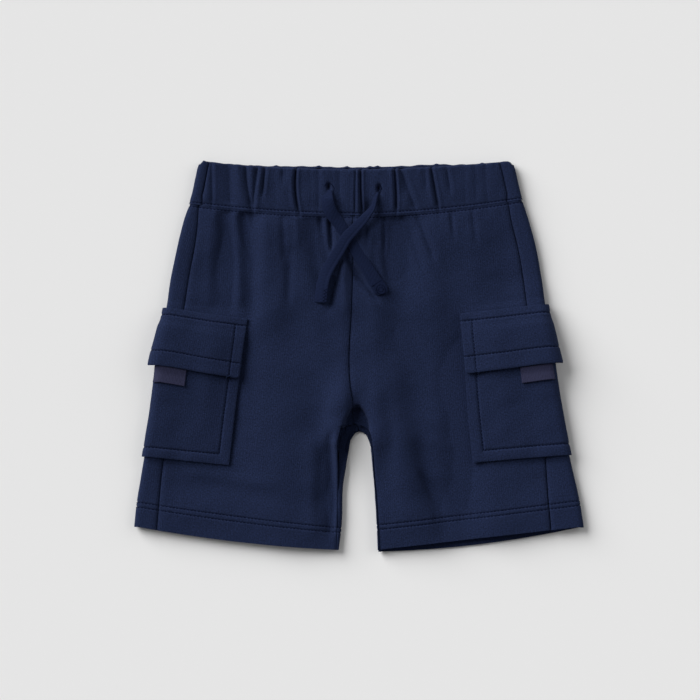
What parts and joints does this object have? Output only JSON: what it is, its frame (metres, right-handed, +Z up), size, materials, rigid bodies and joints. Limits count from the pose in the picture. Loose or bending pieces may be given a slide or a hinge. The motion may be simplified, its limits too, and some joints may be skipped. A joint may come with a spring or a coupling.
{
  "type": "children's cargo shorts",
  "caption": "Pull-on cargo shorts in brushed fleece for a small child, laid flat front up, with a gathered waistband, drawstring ends and flapped side pockets.",
  "frame": {"origin": "centre of the bounding box in plan, on the surface that the shorts lie on", "axes": "+X across the front towards the wearer's left, +Y from the hems to the waist, +Z up from the table through the back to the front"},
  "size_m": [0.337, 0.292, 0.0158],
  "materials": {
    "fleece": "matt navy brushed-back knit",
    "drawstring_cloth": "matt navy knit strip, folded and stitched flat",
    "woven_tape": "plain dull purple twill tape"
  },
  "bodies": {
    "root": {"front_right": "fleece", "back_right": "fleece", "pocket_right": "fleece", "flap_right": "fleece", "tab_right": "woven_tape", "front_left": "fleece", "back_left": "fleece", "pocket_left": "fleece", "flap_left": "fleece", "tab_left": "woven_tape", "waistband_front": "fleece", "waistband_back": "fleece", "drawstring_left": "drawstring_cloth", "drawstring_right": "drawstring_cloth"}
  },
  "joints": []
}
